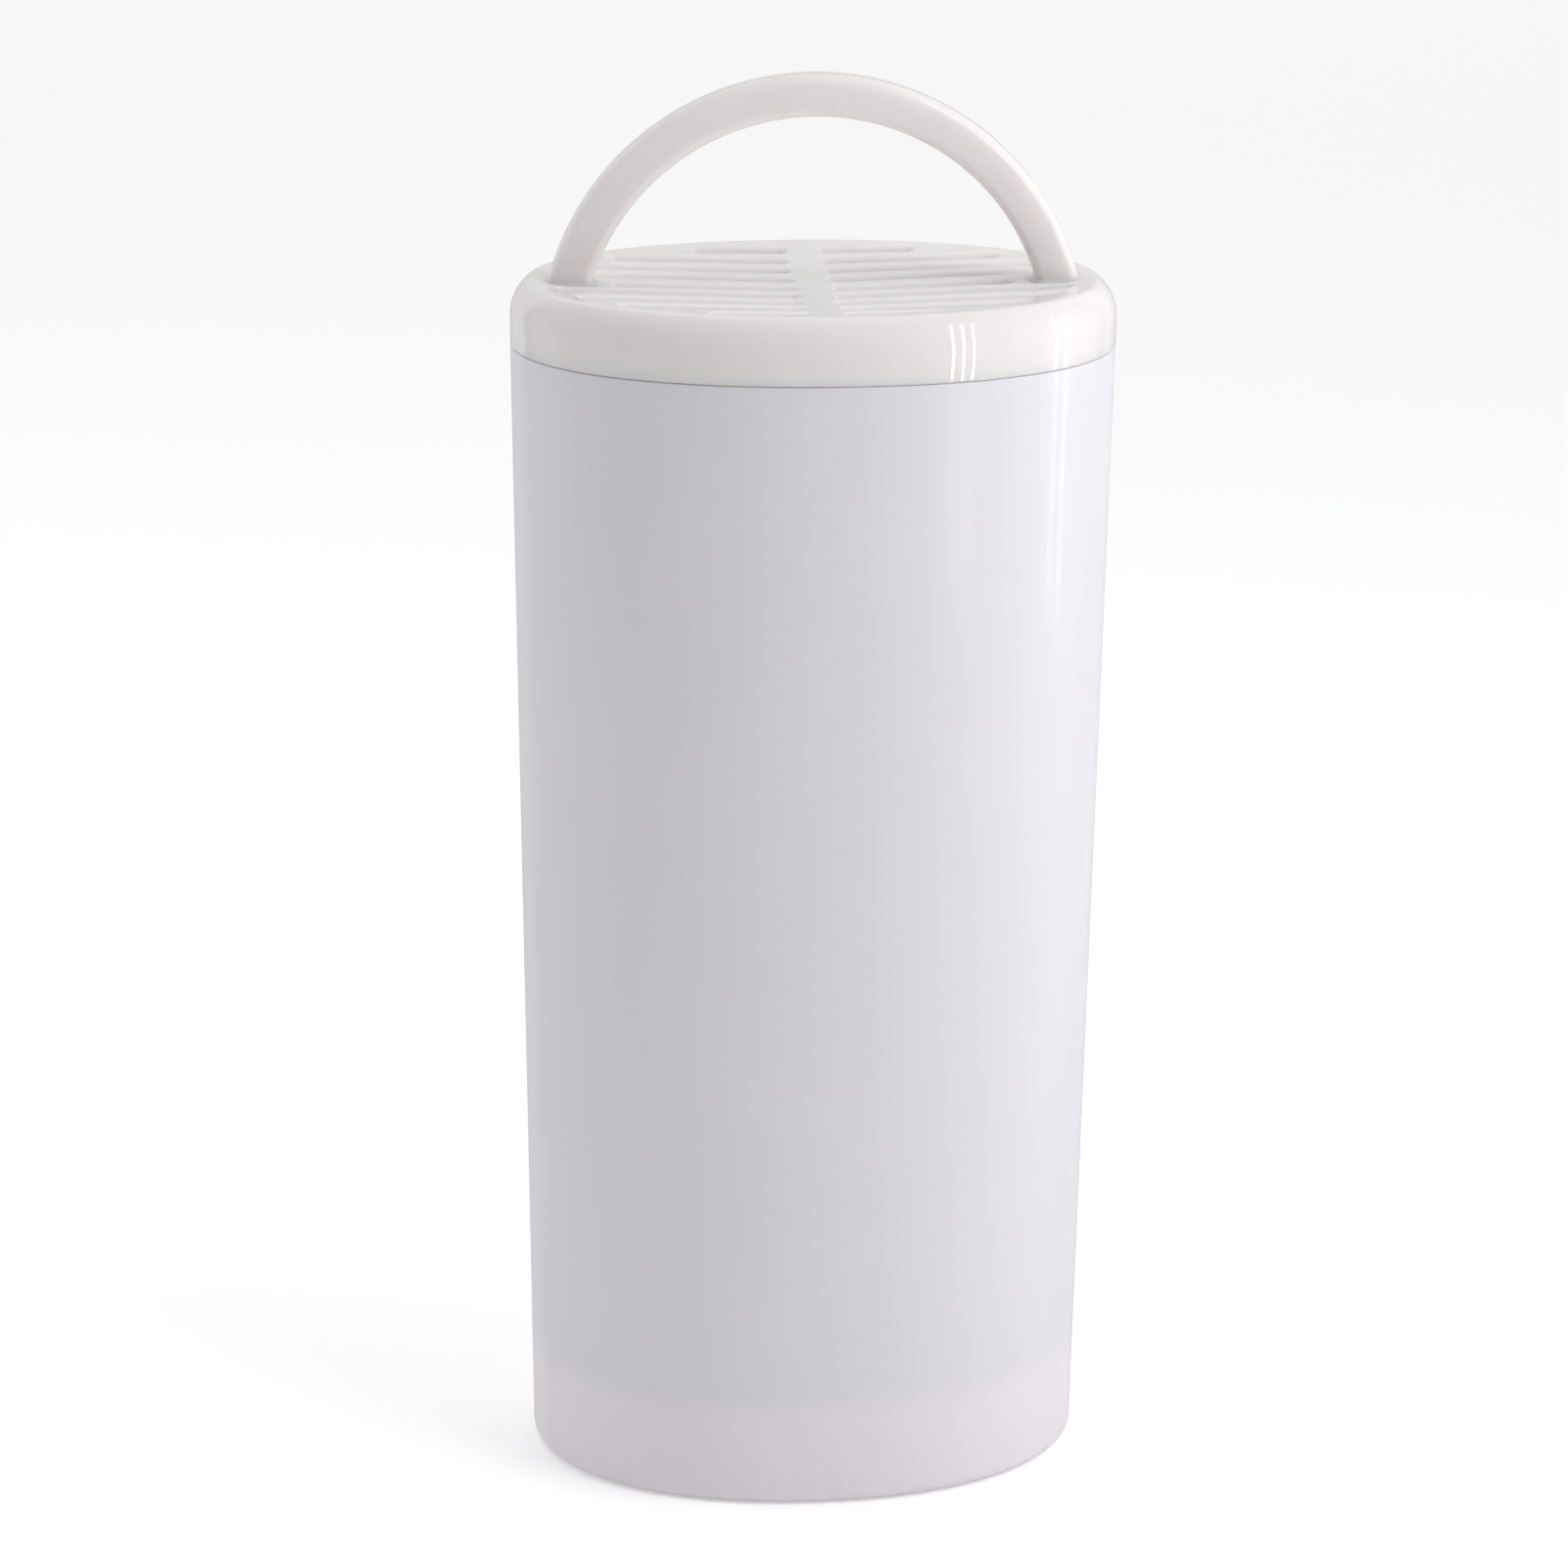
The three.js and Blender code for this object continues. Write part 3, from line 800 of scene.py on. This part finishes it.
def build_moulded_skin():
    group, given, result = new_group(
        "moulded_skin",
        [("Tint", "Color", (0.8, 0.8, 0.8, 1)), ("Drift", "Color", (0.8, 0.8, 0.8, 1)),
         ("Speck", "Color", (0.2, 0.18, 0.16, 1)), ("Drift Scale", "Float", 60.0),
         ("Speck Share", "Float", 0.06), ("Speck Size", "Float", 0.02)],
        [("Color", "Color"), ("Height", "Float"), ("Gloss Loss", "Float")],
    )
    point = object_point(group)
    drift = map_range(group, noise(group, point, given["Drift Scale"], 3.0), *DRIFT_RANGE)
    tint = mix_colour(group, drift, given["Tint"], given["Drift"])
    distance, chance, spread = cell_pattern(group, point, SPECK_CELLS)
    picked = maths(group, "LESS_THAN", chance, given["Speck Share"])
    size = maths(group, "MULTIPLY", given["Speck Size"], maths(group, "ADD", spread, SPECK_SMALLEST))
    speck = maths(group, "MULTIPLY", picked, maths(group, "LESS_THAN", distance, size))
    cover = maths(group, "MULTIPLY", speck, SPECK_COVER)
    group.links.new(mix_colour(group, cover, tint, given["Speck"]), result["Color"])
    wave = noise(group, point, SHRINK_WAVES, 1.0)
    grain = maths(group, "MULTIPLY", noise(group, point, POLISH_GRAIN, 2.0), POLISH_HEIGHT)
    group.links.new(maths(group, "ADD", wave, grain), result["Height"])
    scuff = map_range(group, noise(group, point, SCUFFS, 6.0), *SCUFF_RANGE)
    group.links.new(scuff, result["Gloss Loss"])
    return group


moulded_skin = build_moulded_skin()

# %% [markdown]
# The housing is cool white polypropylene with a satin sheen. Its wall is thin and lets light through:
# above the outlet pad it looks faintly blue-grey, and beside the white pad it is warmer and lighter. The wall
# is opaque here, so that is painted light: the tint changes softly at the height of the pad's top, which the
# frame gives, and below it the colour is lighter and warmer. A thin clear coat, rather than a lower
# roughness, draws the narrow bright lines over the satin body.

# %% Housing plastic
HOUSING_TINT = (0.728, 0.72, 0.765, 1)
HOUSING_DRIFT = (0.73, 0.706, 0.752, 1)
# Painted light: the lighter, warmer colour of the wall where the white pad lies behind it.
PAD_GLOW_TINT = (0.785, 0.75, 0.79, 1)
PAD_GLOW_DRIFT = (0.785, 0.738, 0.782, 1)
TINT_SOFTNESS = 2.5 * MM
HOUSING_ROUGHNESS = (0.42, 0.5)
HOUSING_RELIEF = 0.05 * MM
pad_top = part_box("outlet_pad")[1].z


def build_housing_plastic():
    material, tree, shader = new_material(
        "housing_satin_white", HOUSING_ROUGHNESS[0], Coat_Weight=0.3, Coat_Roughness=0.1,
    )
    height = add_node(tree, "ShaderNodeSeparateXYZ", {"Vector": object_point(tree)}).outputs["Z"]
    above = map_range(tree, height, pad_top - TINT_SOFTNESS / 2, pad_top + TINT_SOFTNESS)
    # Painted light: below the pad's top the wall takes the lighter, warmer colour, for light from the white
    # pad coming through.
    tint = mix_colour(tree, above, PAD_GLOW_TINT, HOUSING_TINT)
    drift = mix_colour(tree, above, PAD_GLOW_DRIFT, HOUSING_DRIFT)
    skin = place_group(tree, moulded_skin, Tint=tint, Drift=drift, Drift_Scale=55.0, Speck_Share=0.05)
    tree.links.new(skin["Color"], shader.inputs["Base Color"])
    roughness = map_range(tree, skin["Gloss Loss"], 0, 1, *HOUSING_ROUGHNESS, smooth=False)
    tree.links.new(roughness, shader.inputs["Roughness"])
    add_bump(tree, shader, skin["Height"], HOUSING_RELIEF)
    return material


dress(build_housing_plastic(), housing)

# %% [markdown]
# The cap and handle come from another mould. They are warmer and glossier, and light soaks a little way
# into them, which is why their shaded side turns warm instead of grey.

# %% Cap and handle plastic
CAP_TINT = (0.828, 0.797, 0.797, 1)
CAP_DRIFT = (0.822, 0.788, 0.787, 1)
CAP_ROUGHNESS = (0.32, 0.42)
CAP_RELIEF = 0.01 * MM
LIGHT_DEPTH = 2.2 * MM


def build_cap_plastic():
    material, tree, shader = new_material(
        "cap_gloss_white", CAP_ROUGHNESS[0], Coat_Weight=1.0, Coat_Roughness=0.03,
        Subsurface_Weight=0.7, Subsurface_Radius=(1.0, 0.94, 0.9), Subsurface_Scale=LIGHT_DEPTH,
    )
    skin = place_group(tree, moulded_skin, Tint=CAP_TINT, Drift=CAP_DRIFT, Drift_Scale=90.0, Speck_Share=0.1)
    tree.links.new(skin["Color"], shader.inputs["Base Color"])
    roughness = map_range(tree, skin["Gloss Loss"], 0, 1, *CAP_ROUGHNESS, smooth=False)
    tree.links.new(roughness, shader.inputs["Roughness"])
    add_bump(tree, shader, skin["Height"], CAP_RELIEF)
    return material


dress(build_cap_plastic(), cap, handle)

# %% [markdown]
# Felt is a tangle of fibres: noise stretched along two directions makes the hairs, and a broad noise makes
# the thin and thick places. Its colour follows that height: partly the felt's own uneven tone, partly painted
# shade, darker in the low places between hairs. A screen is a woven net: two sine waves cross, the higher one
# is the thread on top, and the square between threads is a hole, painted dark as the shade seen through it.
# Grains take one seeded tint each from a cell pattern.

# %% Groups: felt, woven net and grains
FIBRE_STRETCHES = ((3.0, 0.4, 1.0), (0.5, 2.6, 1.0))
FIBRE_CURL = 1.2
FELT_LUMPS = 0.3 * PER_MM
FELT_RANGE = (0.8, 1.3)
THREAD_CROSSING = 0.3
THREAD_RANGE = (-0.7, 0.1)


def build_felt_fibre():
    group, given, result = new_group(
        "felt_fibre",
        [("Light", "Color", (0.9, 0.9, 0.88, 1)), ("Dark", "Color", (0.7, 0.7, 0.66, 1))],
        [("Color", "Color"), ("Height", "Float")],
    )
    point = object_point(group)
    hairs = []
    for stretch in FIBRE_STRETCHES:
        scale = [PER_MM * share for share in stretch]
        stretched = add_node(group, "ShaderNodeMapping", {"Vector": point, "Scale": scale}).outputs[0]
        hairs.append(noise(group, stretched, 1.0, 2.0, FIBRE_CURL))
    height = maths(group, "ADD", maths(group, "MAXIMUM", *hairs), noise(group, point, FELT_LUMPS, 2.0))
    # Painted shade, with the felt's own uneven tone: the lower the surface, the darker the colour.
    lightness = map_range(group, height, *FELT_RANGE)
    group.links.new(mix_colour(group, lightness, given["Dark"], given["Light"]), result["Color"])
    group.links.new(height, result["Height"])
    return group


def build_woven_net():
    group, given, result = new_group(
        "woven_net",
        [("Thread", "Color", (0.9, 0.9, 0.88, 1)), ("Hole", "Color", (0.3, 0.3, 0.3, 1)),
         ("Pitch", "Float", 0.0006)],
        [("Color", "Color"), ("Height", "Float")],
    )
    parts = add_node(group, "ShaderNodeSeparateXYZ", {"Vector": object_point(group)})
    turn = maths(group, "DIVIDE", 2 * math.pi, given["Pitch"])
    waves = [maths(group, "COSINE", maths(group, "MULTIPLY", parts.outputs[axis], turn)) for axis in "XY"]
    crossing = maths(group, "MULTIPLY", *waves)
    warp = maths(group, "ADD", waves[0], maths(group, "MULTIPLY", crossing, THREAD_CROSSING))
    weft = maths(group, "ADD", waves[1], maths(group, "MULTIPLY", crossing, -THREAD_CROSSING))
    height = maths(group, "MAXIMUM", warp, weft)
    # Painted shade: the low places between threads take the dark hole colour.
    thread = map_range(group, height, *THREAD_RANGE)
    group.links.new(mix_colour(group, thread, given["Hole"], given["Thread"]), result["Color"])
    group.links.new(height, result["Height"])
    return group


def build_grain_tint():
    group, given, result = new_group(
        "grain_tint",
        [("Light", "Color", (0.5, 0.5, 0.5, 1)), ("Dark", "Color", (0.1, 0.1, 0.1, 1)),
         ("Pitch", "Float", 0.0012)],
        [("Color", "Color"), ("Height", "Float")],
    )
    scale = maths(group, "DIVIDE", 1.0, given["Pitch"])
    distance, chance, _ = cell_pattern(group, object_point(group), scale)
    group.links.new(mix_colour(group, chance, given["Dark"], given["Light"]), result["Color"])
    group.links.new(maths(group, "SUBTRACT", 1.0, distance), result["Height"])
    return group


felt_fibre, woven_net, grain_tint = build_felt_fibre(), build_woven_net(), build_grain_tint()


# %% Felt, mesh, resin and carbon
def build_filling_material(name, group, roughness, bump, constants, **inputs):
    """A filling's finish: one of the groups feeds the colour and the bump of a Principled shader."""
    material, tree, shader = new_material(name, roughness, **constants)
    pattern = place_group(tree, group, **inputs)
    tree.links.new(pattern["Color"], shader.inputs["Base Color"])
    add_bump(tree, shader, pattern["Height"], bump)
    return material


# The felt's dark colour is partly painted shade in the low places between hairs.
felt_finish = build_filling_material(
    "filter_felt", felt_fibre, 0.95, 0.25 * MM, {"Sheen_Weight": 0.3},
    Light=(0.88, 0.87, 0.83, 1), Dark=(0.72, 0.71, 0.66, 1),
)
# The screen's dark hole colour is painted shade seen through the net's holes.
mesh_finish = build_filling_material(
    "screen_nylon", woven_net, 0.5, 0.12 * MM, {},
    Thread=(0.88, 0.87, 0.85, 1), Hole=(0.45, 0.43, 0.42, 1), Pitch=0.7 * MM,
)
resin_finish = build_filling_material(
    "resin_amber", grain_tint, 0.25, 0.1 * MM, {"Subsurface_Weight": 0.2, "Subsurface_Scale": 0.5 * MM},
    Light=(0.68, 0.42, 0.12, 1), Dark=(0.42, 0.22, 0.05, 1), Pitch=0.65 * MM,
)
carbon_finish = build_filling_material(
    "carbon_black", grain_tint, 0.6, 0.2 * MM, {},
    Light=(0.045, 0.045, 0.048, 1), Dark=(0.008, 0.008, 0.009, 1), Pitch=0.9 * MM,
)
dress(felt_finish, *pads)
dress(mesh_finish, outlet_screen, inlet_screen)
dress(resin_finish, resin)
dress(carbon_finish, carbon)
print("materials:", sorted(m.name for m in bpy.data.materials if m.users))

# %% [markdown]
# A white thing on white is drawn by its shading alone. The floor is one flat plane, nearly white. It glows
# a little, so it stays bright around the cartridge. Glossy rays don't see it, so the plastic doesn't
# mirror it.

# %% Floor
FLOOR_SIZE = 12
FLOOR_COLOUR = (0.95, 0.95, 0.953, 1)
FLOOR_GLOW = 0.2


def add_floor():
    half = FLOOR_SIZE / 2
    mesh = bpy.data.meshes.new("floor")
    corners = [(-half, -half, 0), (half, -half, 0), (half, half, 0), (-half, half, 0)]
    mesh.from_pydata(corners, [], [(0, 1, 2, 3)])
    plane = bpy.data.objects.new("floor", mesh)
    scene.collection.objects.link(plane)
    material, _, _ = new_material(
        "floor_paper", 0.9, Specular_IOR_Level=0.1, Base_Color=FLOOR_COLOUR,
        Emission_Color=(1, 1, 1, 1), Emission_Strength=FLOOR_GLOW,
    )
    dress(material, plane)
    plane.visible_glossy = False
    plane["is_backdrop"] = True


add_floor()

# %% [markdown]
# A wide light stands high behind the cartridge, and a small one hangs over the grille. Two near lights
# stand to the right, one low and one high. One more stands to the left and a little behind, which leaves
# a soft dark band on the front left.

# %% Lights
LIGHT_AIM = Vector((0, 0, 0.07))


def direction_at(azimuth, elevation):
    """Unit vector at an azimuth in degrees, from the front towards the right, and an elevation."""
    turn, lift = math.radians(azimuth), math.radians(elevation)
    return Vector((math.sin(turn) * math.cos(lift), -math.cos(turn) * math.cos(lift), math.sin(lift)))


def add_light(name, azimuth, elevation, distance, width, height, watts):
    """A soft rectangular light that looks at the aim point, and that glossy rays don't see."""
    data = bpy.data.lights.new(name, "AREA")
    data.shape = "RECTANGLE"
    data.size, data.size_y = width, height
    data.energy = watts
    lamp = bpy.data.objects.new(name, data)
    scene.collection.objects.link(lamp)
    out = direction_at(azimuth, elevation)
    lamp.location = LIGHT_AIM + out * distance
    lamp.rotation_euler = out.to_track_quat("Z", "Y").to_euler()
    lamp.visible_glossy = False


add_light("overhead", azimuth=180, elevation=65, distance=3, width=7, height=7, watts=125)
add_light("key_right", azimuth=70, elevation=4, distance=0.34, width=0.2, height=0.36, watts=0.34)
add_light("key_high", azimuth=60, elevation=38, distance=0.34, width=0.2, height=0.2, watts=0.43)
add_light("top", azimuth=0, elevation=88, distance=0.4, width=0.25, height=0.25, watts=0.14)
add_light("rim_left", azimuth=-105, elevation=5, distance=0.6, width=0.3, height=0.4, watts=0.92)

# %% [markdown]
# The narrow bright lines on the plastic are reflections of a window. Lit cards stand in for its bars and
# panes. Only glossy rays see them, so they add gloss without adding light. The cap's shoulder is curved,
# and a flat card's image would bend over it like a hook. So each card is bent the other way, by the
# mirror law, and its image comes out upright.

# %% Reflected cards
CARD_ROWS = 16
CARD_DISTANCE = 0.9
CARD_FOOT = -0.17
CARD_EDGE = 0.0001


def upright_rows(azimuth, distance, low, high):
    """Middle line of a flat upright card, as rows of points."""
    height = np.linspace(low, high, CARD_ROWS)[:, None]
    return np.hstack([np.tile(direction_at(azimuth, 0)[:2], (CARD_ROWS, 1)) * distance, height])


def mirrored_rows(azimuth, top_tilt):
    """Middle line of a card whose image in the cap's side and shoulder is an upright line, at the place
    where the side faces that azimuth. Each row lies along the mirror ray r = 2 (n . v) n - v, where n is
    the shoulder's normal at one tilt and v looks at the camera. The first row drops straight to the foot."""
    tilt = np.radians(np.linspace(0, top_tilt, CARD_ROWS - 1))
    out = np.array(direction_at(azimuth, 0))
    slope = (abs(out[0] / out[1]) * MOUTH_HALF[0] / MOUTH_HALF[1]) ** (1 / (OVAL_POWER - 1))
    share = np.array([slope, 1]) / (slope**OVAL_POWER + 1) ** (1 / OVAL_POWER)
    spot = np.zeros((len(tilt), 3))
    spot[:, :2] = np.sign(out[:2]) * share * MOUTH_HALF
    spot -= out * (SHOULDER_RADIUS * (1 - np.cos(tilt)))[:, None]
    spot[:, 2] = CREASE_Z - SHOULDER_RADIUS * (math.sin(SHOULDER_ANGLE) - np.sin(tilt))
    normal = out * np.cos(tilt)[:, None] + np.array([0, 0, 1]) * np.sin(tilt)[:, None]
    view = np.array(scene.camera.location) - spot
    view /= np.linalg.norm(view, axis=1, keepdims=True)
    ray = 2 * (normal * view).sum(axis=1, keepdims=True) * normal - view
    rows = spot + CARD_DISTANCE * ray
    return np.vstack([[rows[0, 0], rows[0, 1], CARD_FOOT], rows])


def add_card(name, middle, width, strength, fade=0.0):
    """A tall lit card about a middle line that only glossy rays see. Its light fades towards its upright
    edges over a share of its width."""
    reach = np.linalg.norm(middle[:, :2], axis=1, keepdims=True)
    side = np.column_stack([-middle[:, 1], middle[:, 0], 0 * middle[:, 0]]) / reach * width / 2
    points = np.stack([middle - side, middle + side], axis=1).reshape(-1, 3)
    faces = 2 * np.arange(CARD_ROWS - 1)[:, None] + [0, 1, 3, 2]
    mesh = bpy.data.meshes.new(name)
    mesh.from_pydata(points, [], faces.tolist())
    mesh.uv_layers.new().data.foreach_set("uv", [0, 0, 1, 0, 1, 1, 0, 1] * len(faces))
    card = bpy.data.objects.new(name, mesh)
    scene.collection.objects.link(card)
    material = bpy.data.materials.new(name)
    material.use_nodes = True
    tree = material.node_tree
    tree.nodes.remove(tree.nodes["Principled BSDF"])
    own_uv = add_node(tree, "ShaderNodeTexCoord").outputs["UV"]
    across = add_node(tree, "ShaderNodeSeparateXYZ", {"Vector": own_uv}).outputs["X"]
    off_centre = maths(tree, "ABSOLUTE", maths(tree, "SUBTRACT", across, 0.5))
    light = map_range(tree, off_centre, 0.5 - fade, 0.5 + CARD_EDGE, strength, 0.0)
    glow = add_node(tree, "ShaderNodeEmission", {"Strength": light})
    tree.links.new(glow.outputs[0], tree.nodes["Material Output"].inputs["Surface"])
    material.cycles.emission_sampling = "NONE"
    dress(material, card)
    card.visible_camera = False
    card.visible_diffuse = False
    card.visible_transmission = False
    card.visible_shadow = False
    card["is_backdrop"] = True


BAR_AZIMUTHS = (14.3, 15.95, 17.6)
BAR_WIDTH = 0.011
BAR_TOP_TILT = 38
PANES = ((36.1, 0.034), (39.6, 0.042))
PANE_TOP_TILT = 30
back_rows = upright_rows(azimuth=180, distance=2, low=-2, high=2.5)
add_card("backdrop", back_rows, width=7, strength=0.6, fade=0.2)
left_rows = upright_rows(azimuth=-104, distance=1.2, low=-1.2, high=0.6)
add_card("left_wall", left_rows, width=1.2, strength=0.2, fade=0.5)
for azimuth in BAR_AZIMUTHS:
    add_card(f"window_bar_{azimuth}", mirrored_rows(azimuth, BAR_TOP_TILT), BAR_WIDTH, strength=12)
for azimuth, width in PANES:
    add_card(f"window_pane_{azimuth}", mirrored_rows(azimuth, PANE_TOP_TILT), width, strength=7)

# %% [markdown]
# The world is a plain white. The camera sees it at full strength, and everything else at about a quarter,
# so it fills the shadows without flattening them.

# %% World
WORLD_LIGHT = 0.245


def set_world():
    world = bpy.data.worlds.new("studio")
    world.use_nodes = True
    tree = world.node_tree
    ray = add_node(tree, "ShaderNodeLightPath").outputs["Is Camera Ray"]
    strength = map_range(tree, ray, 0, 1, WORLD_LIGHT, 1.0, smooth=False)
    tree.links.new(strength, tree.nodes["Background"].inputs["Strength"])
    tree.nodes["Background"].inputs["Color"].default_value = (1, 1, 1, 1)
    scene.world = world


set_world()
scene.view_settings.view_transform = "Standard"
scene.view_settings.look = "None"

# %% [markdown]
# The last cell prints the model's box under the frame's. The two must agree, because the finished surface
# may not change the size of the part.

# %% Size and finish
model_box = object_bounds()
for label, box in (("frame", cad_box), ("model", model_box)):
    print(label, [[round(v / MM, 2) for v in corner] for corner in box])
